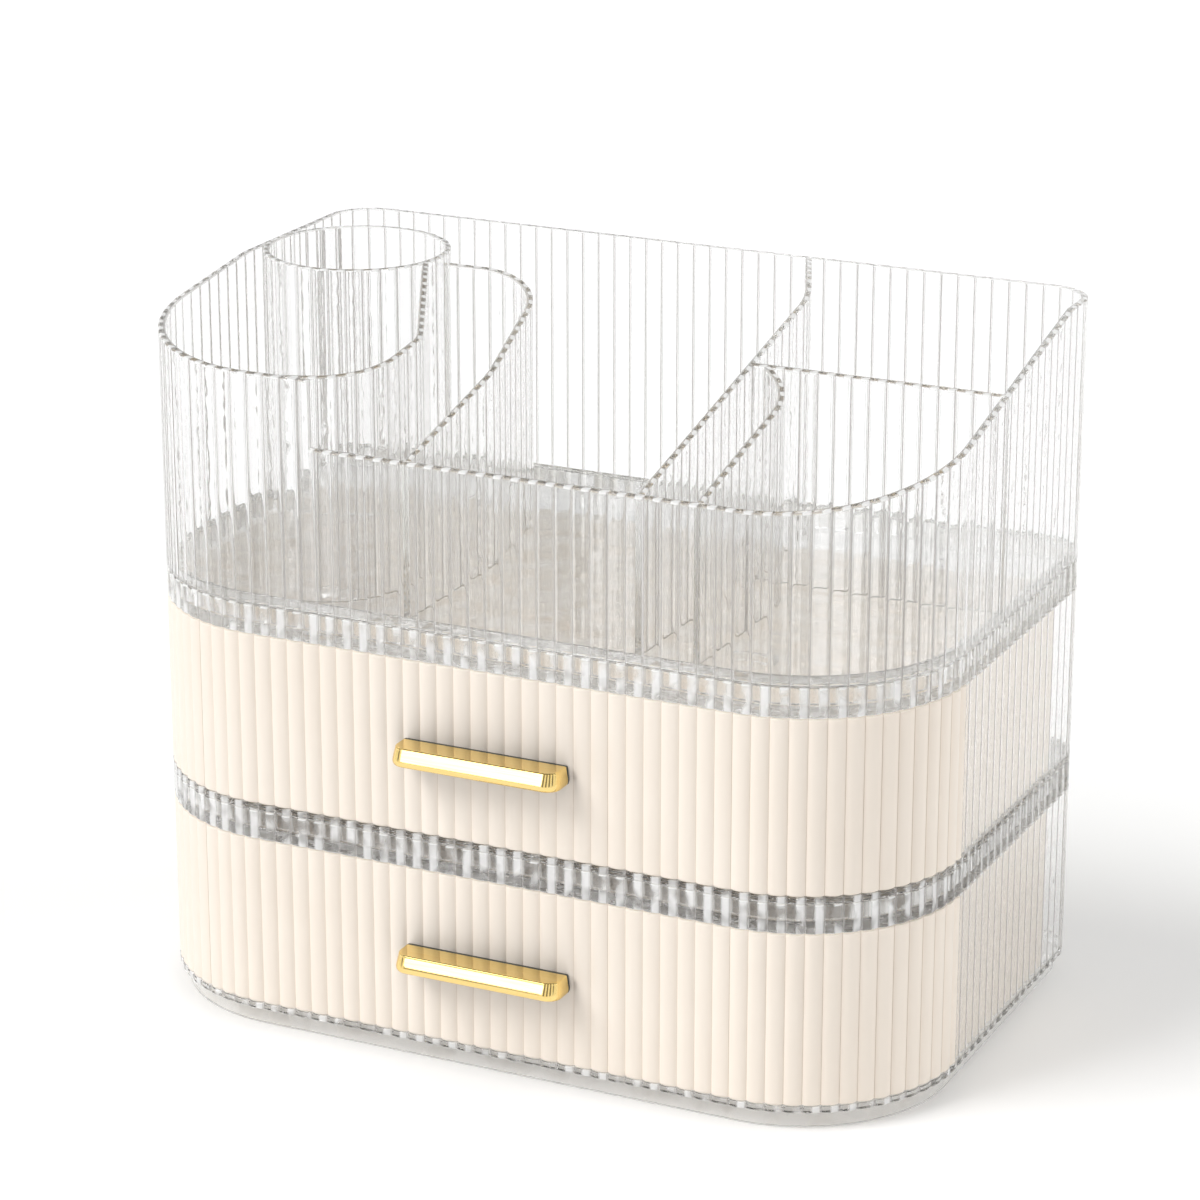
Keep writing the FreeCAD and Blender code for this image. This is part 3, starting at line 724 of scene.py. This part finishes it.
# The tray: its wall and dividers slope up from the front to the back.
tray = {
    "lowWall": 51.2, "lowRun": 145.0,  # height at the front, and how far back it reaches highWall
    "pocketWall": 73.8, "pocketRun": 95.0,  # the same for the higher wall round the left pocket
    "highWall": 85.7,
    "pocketSpan": 78.0,  # from the left side to the step between the two
    "stepHalf": 0.05,  # a mesh line stands this far each side of the step
    "stepBefore": 0.001, "stepAfter": 0.2,  # how near to the step its place is looked for
    "floorInset": 2.5,
    "dividerWall": 2.2,
    "cupRadius": 32.0,
    "edge": 0.4, "footEdge": 0.05,
    "wallLap": 1.0, "cupLap": 0.9,  # how far a divider's end runs into the wall or the cup
    "searchSteps": 4000,
}
floorTop = boxMm("tray_floor")[1].z
wallFloor = boxMm("tray_wall")[0].z
stepX = tray["pocketSpan"] - caseSide


def slope(low, run):
    def height(x, y):
        rise = (tray["highWall"] - low) / run
        return floorTop + min(tray["highWall"], low + rise * (y - frontY))
    return height


lowSlope = slope(tray["lowWall"], tray["lowRun"])
pocketSlope = slope(tray["pocketWall"], tray["pocketRun"])


def wallTop(x, y):
    return pocketSlope(x, y) if x < stepX else lowSlope(x, y)


def trayWall():
    # the outline comes back to the front from the left, so the step is met going right
    nearest, farthest = stepX - tray["stepBefore"], stepX + tray["stepAfter"]
    stepAt = distanceTo(caseRoute, lambda p: nearest < p.x < farthest and p.y < 0)
    half = tray["stepHalf"]
    places = stations(caseRoute, closed=True, extra=(stepAt - half, stepAt + half))
    section = wallSection(casing["shellWall"], tray["edge"])
    rings = [ringOf(places, p, reeds["wall"], wallFloor, wallTop) for p in section]
    return meshFrom("tray_wall_clear", rings, places=places, section=section)


cupLow, cupHigh = boxMm("brush_cup")
cupX = cupHigh.x - tray["cupRadius"]  # the tray's wall cuts the cup's left side
cupY = (cupLow.y + cupHigh.y) / 2


def brushCup():
    radius = tray["cupRadius"]
    runs = []
    for quarter in range(4):
        angle = -math.pi / 2 + quarter * math.pi / 2
        start = Vector((cupX + radius * math.cos(angle), cupY + radius * math.sin(angle)))
        runs.append(arcRun(Vector((cupX, cupY)), start, math.pi / 2))
    places = stations(runs, closed=True)
    section = wallSection(tray["dividerWall"], tray["edge"])
    top = floorTop + tray["highWall"]
    rings = [ringOf(places, p, reeds["divider"], floorTop, top) for p in section]
    return meshFrom("brush_cup_clear", rings, places=places, section=section)


def insideWall(spot):
    # true where a divider's middle line is inside the tray's wall
    clear = casing["shellWall"] - tray["wallLap"]
    x, y = abs(spot.x), spot.y
    if x > caseSide - clear or y < frontY + clear or y > backY - clear:
        return False
    for radius, endY, inward in (
        (casing["frontRadius"], frontY, 1), (casing["backRadius"], backY, -1),
    ):
        cx, cy = caseSide - radius, endY + inward * radius
        atCorner = x > cx and inward * (y - cy) < 0
        if atCorner and math.hypot(x - cx, y - cy) > radius - clear:
            return False
    return True


def outsideCup(spot):
    return math.hypot(spot.x - cupX, spot.y - cupY) > tray["cupRadius"] - tray["cupLap"]


# Offsets are from the nearest side or the front, to a divider's middle line.
dividers = {
    "centreOffset": 87.6, "centreLean": 16.4, "centreStraight": 132.5, "centreRadius": 30.0,
    "crossOffset": 86.0,
    "frontOffset": 68.0, "frontCut": 14.0, "frontRadius": 33.0,
    "leftOffset": 112.0, "leftLean": 12.0, "leftStraight": 60.0, "leftRise": 9.0,
    "leftFrontRadius": 60.0, "leftBackRadius": 30.0,
    "pocketStart": 62.0, "pocketOffset": 95.0, "pocketSlant": 8.8, "pocketTurn": 44.0,
    "pocketFrontRadius": 24.0, "pocketBackRadius": 18.0,
}


def dividerRoutes():
    d = dividers
    halfWall = tray["dividerWall"] / 2
    centreX = caseSide - d["centreOffset"]
    crossY = frontY + d["crossOffset"]
    frontX = caseSide - d["frontOffset"]
    frontEndY = crossY - halfWall / 2
    leftX = d["leftOffset"] - caseSide
    leftBackY = cupY + d["leftRise"]
    pocketX = d["pocketOffset"] - caseSide
    cupEdge = cupX + tray["cupRadius"] - 2 * tray["dividerWall"]
    return {
        "pocket_divider": (
            (d["pocketStart"] - caseSide, frontY, 0),
            (pocketX, frontY + d["pocketSlant"], d["pocketFrontRadius"]),
            (pocketX, frontY + d["pocketTurn"], d["pocketBackRadius"]),
            (cupEdge, cupY - tray["dividerWall"], 0),
        ),
        "left_divider": (
            (leftX, frontY, 0),
            (leftX, frontY + d["leftStraight"], d["leftFrontRadius"]),
            (leftX - d["leftLean"], leftBackY, d["leftBackRadius"]),
            (cupEdge, leftBackY, 0),
        ),
        "centre_divider": (
            (centreX, frontY, 0),
            (centreX, frontY + d["centreStraight"], d["centreRadius"]),
            (centreX - d["centreLean"], backY, 0),
        ),
        "cross_divider": ((centreX, crossY, 0), (caseSide, crossY, 0)),
        "front_divider": (
            (frontX, frontY, 0),
            (frontX, frontEndY - d["frontCut"], d["frontRadius"]),
            (frontX - d["frontCut"], frontEndY, 0),
        ),
    }


def dividerPiece(name, corners):
    runs = routeThrough(corners)
    total = routeLength(runs)
    steps = tray["searchSteps"]
    spots = [(total * i / steps, pointAlong(runs, total * i / steps)[0]) for i in range(steps + 1)]
    inside = [s for s, spot in spots if insideWall(spot) and outsideCup(spot)]
    places = stations(runs, closed=False, start=inside[0], end=inside[-1])
    half = tray["dividerWall"] / 2
    places = [(p + right * half, right, across) for p, right, across in places]
    top = pocketSlope if name == "pocket_divider" else lowSlope
    section = wallSection(tray["dividerWall"], tray["edge"], bottomEdge=tray["footEdge"])
    rings = [ringOf(places, p, reeds["divider"], floorTop, top) for p in section]
    return meshFrom(name + "_clear", rings, closed=False, places=places, section=section)


trayFloor = plateOnPlinth("tray_floor", plateInset=tray["floorInset"])
addPiece(trayFloor, "tray", rimAcrylic, "tray_floor")
addPiece(trayWall(), "tray", acrylic, "tray_wall")
addPiece(brushCup(), "tray", acrylic, "brush_cup")
for name, corners in dividerRoutes().items():
    addPiece(dividerPiece(name, corners), "tray", acrylic, name)
print("tray made")


# Floor, light and camera.
room = {
    "floor": "#FAFAFA", "floorSize": 9.0,
    "floorGlow": 0.2,  # keeps the floor pale, and lights nothing
    "ambient": 0.42,
    "softBoxes": 15.0,  # as many round the room
    "boxFrom": -0.3, "boxTo": 0.1,  # each box's soft edge, on a wave from -1 to 1
    "gap": 0.25,  # brightness between the boxes
    "wallFrom": 0.06, "wallTo": 0.16,  # they start here, as the sine of the angle upwards
    "ceilingFrom": 0.6, "ceilingTo": 0.78, "ceiling": 0.14,  # and end here under a dim ceiling
    "front": 5.0, "frontSize": 0.7, "frontAt": (-0.9, -1.9, 0.8), "frontAim": (0, 0, 0.1),
    "key": 1.6, "keyAngle": 30.0, "keyAim": (0.6, 0.6, -0.85),
    "side": 0.9, "sideAngle": 60.0, "sideAim": (-1.0, -0.35, -0.45),
}
white = (1, 1, 1, 1)


def floorPlane():
    size = room["floorSize"]
    corners = [(-size, -size, 0), (size, -size, 0), (size, size, 0), (-size, size, 0)]
    mesh = bpy.data.meshes.new("studioFloor")
    mesh.from_pydata(corners, [], [(0, 1, 2, 3)])
    floor = bpy.data.objects.new("studioFloor", mesh)
    bpy.context.scene.collection.objects.link(floor)
    # matt floor paint: even and pale, with the shadow on it
    material, tree = newMaterial("paleFloorPaint")
    skin = node(tree, "ShaderNodeBsdfDiffuse", {"Color": toLinear(room["floor"])})
    path = node(tree, "ShaderNodeLightPath")
    seen = node(
        tree, "ShaderNodeMath", {0: 1.0, 1: path.outputs["Is Diffuse Ray"]},
        operation="SUBTRACT",
    )
    level = node(
        tree, "ShaderNodeMath", {0: seen.outputs[0], 1: room["floorGlow"]}, operation="MULTIPLY",
    )
    glow = node(tree, "ShaderNodeEmission", {"Strength": level.outputs[0], "Color": white})
    both = node(tree, "ShaderNodeAddShader", {0: skin.outputs[0], 1: glow.outputs[0]})
    node(tree, "ShaderNodeOutputMaterial", {"Surface": both.outputs[0]})
    mesh.materials.append(material)


def roomLight():
    # the camera sees white, the acrylic and the gold see soft boxes with grey gaps between
    # them, and everything else gets an even dim light
    world = bpy.data.worlds.new("studioWorld")
    world.use_nodes = True
    tree = world.node_tree
    tree.nodes.clear()
    way = node(tree, "ShaderNodeTexCoord")
    parts = node(tree, "ShaderNodeSeparateXYZ", {0: way.outputs["Generated"]})
    turn = node(
        tree, "ShaderNodeMath", {0: parts.outputs["X"], 1: parts.outputs["Y"]},
        operation="ARCTAN2",
    )
    spread = node(
        tree, "ShaderNodeMath", {0: turn.outputs[0], 1: room["softBoxes"]}, operation="MULTIPLY",
    )
    wave = node(tree, "ShaderNodeMath", {0: spread.outputs[0]}, operation="SINE")
    boxes = node(tree, "ShaderNodeMapRange", {
        "Value": wave.outputs[0], "From Min": room["boxFrom"], "From Max": room["boxTo"],
        "To Min": room["gap"],
    })
    above = node(tree, "ShaderNodeMapRange", {
        "Value": parts.outputs["Z"], "From Min": room["wallFrom"], "From Max": room["wallTo"],
    })
    overhead = node(tree, "ShaderNodeMapRange", {
        "Value": parts.outputs["Z"],
        "From Min": room["ceilingFrom"], "From Max": room["ceilingTo"],
        "To Min": 1.0, "To Max": room["ceiling"],
    })
    level = node(
        tree, "ShaderNodeMix",
        {"Factor": above.outputs[0], "A": 1.0, "B": boxes.outputs[0]}, data_type="FLOAT",
    )
    roomLevel = node(
        tree, "ShaderNodeMath", {0: level.outputs[0], 1: overhead.outputs[0]},
        operation="MULTIPLY",
    )
    path = node(tree, "ShaderNodeLightPath")
    bounced = node(
        tree, "ShaderNodeMath",
        {0: path.outputs["Is Glossy Ray"], 1: path.outputs["Is Transmission Ray"]},
        operation="MAXIMUM",
    )
    dim = node(tree, "ShaderNodeBackground", {"Color": white, "Strength": room["ambient"]})
    studio = node(
        tree, "ShaderNodeBackground", {"Color": white, "Strength": roomLevel.outputs[0]},
    )
    backdrop = node(tree, "ShaderNodeBackground", {"Color": white, "Strength": 1.0})
    indoors = node(
        tree, "ShaderNodeMixShader",
        {0: bounced.outputs[0], 1: dim.outputs[0], 2: studio.outputs[0]},
    )
    mix = node(
        tree, "ShaderNodeMixShader",
        {0: path.outputs["Is Camera Ray"], 1: indoors.outputs[0], 2: backdrop.outputs[0]},
    )
    node(tree, "ShaderNodeOutputWorld", {"Surface": mix.outputs[0]})
    bpy.context.scene.world = world


def addObject(name, data, way):
    # way is the direction that a lamp or a camera looks
    made = bpy.data.objects.new(name, data)
    made.rotation_mode = "QUATERNION"
    made.rotation_quaternion = way.to_track_quat("-Z", "Y")
    bpy.context.scene.collection.objects.link(made)
    return made


def sunLamp(name):
    light = bpy.data.lights.new(name + "Sun", "SUN")
    light.energy = room[name]
    light.angle = math.radians(room[name + "Angle"])
    lamp = addObject(name + "Sun", light, Vector(room[name + "Aim"]))
    lamp.visible_glossy = False  # the soft boxes are what shines in the gold


def frontSoftBox():
    light = bpy.data.lights.new("frontSoftBox", "AREA")
    light.energy = room["front"]
    light.size = room["frontSize"]
    spot = Vector(room["frontAt"])
    lamp = addObject("frontSoftBox", light, Vector(room["frontAim"]) - spot)
    lamp.location = spot
    lamp.visible_camera = False


view = {
    "azimuth": 25.48, "elevation": 18.90, "distance": 1.3583, "target": (0.0016, 0.0, 0.1383),
    "lens": 123.4, "sensor": 36.0, "nearest": 0.05, "farthest": 50.0,
}


def camera():
    a, e = math.radians(view["azimuth"]), math.radians(view["elevation"])
    back = Vector((math.sin(a) * math.cos(e), -math.cos(a) * math.cos(e), math.sin(e)))
    data = bpy.data.cameras.new("camera")
    data.sensor_width = view["sensor"]
    data.lens = view["lens"]
    data.clip_start, data.clip_end = view["nearest"], view["farthest"]
    cam = addObject("camera", data, -back)
    cam.location = Vector(view["target"]) + back * view["distance"]
    bpy.context.scene.camera = cam


floorPlane()
roomLight()
for name in ("key", "side"):
    sunLamp(name)
frontSoftBox()
camera()
bounces = {"turns": 32, "throughSkins": 64}  # clear walls stand many deep
scene = bpy.context.scene
scene.view_settings.view_transform = "Standard"
scene.cycles.caustics_reflective = False
scene.cycles.max_bounces = bounces["turns"]
scene.cycles.glossy_bounces = bounces["turns"]
scene.cycles.transmission_bounces = bounces["turns"]
scene.cycles.transparent_max_bounces = bounces["throughSkins"]
print("room made")
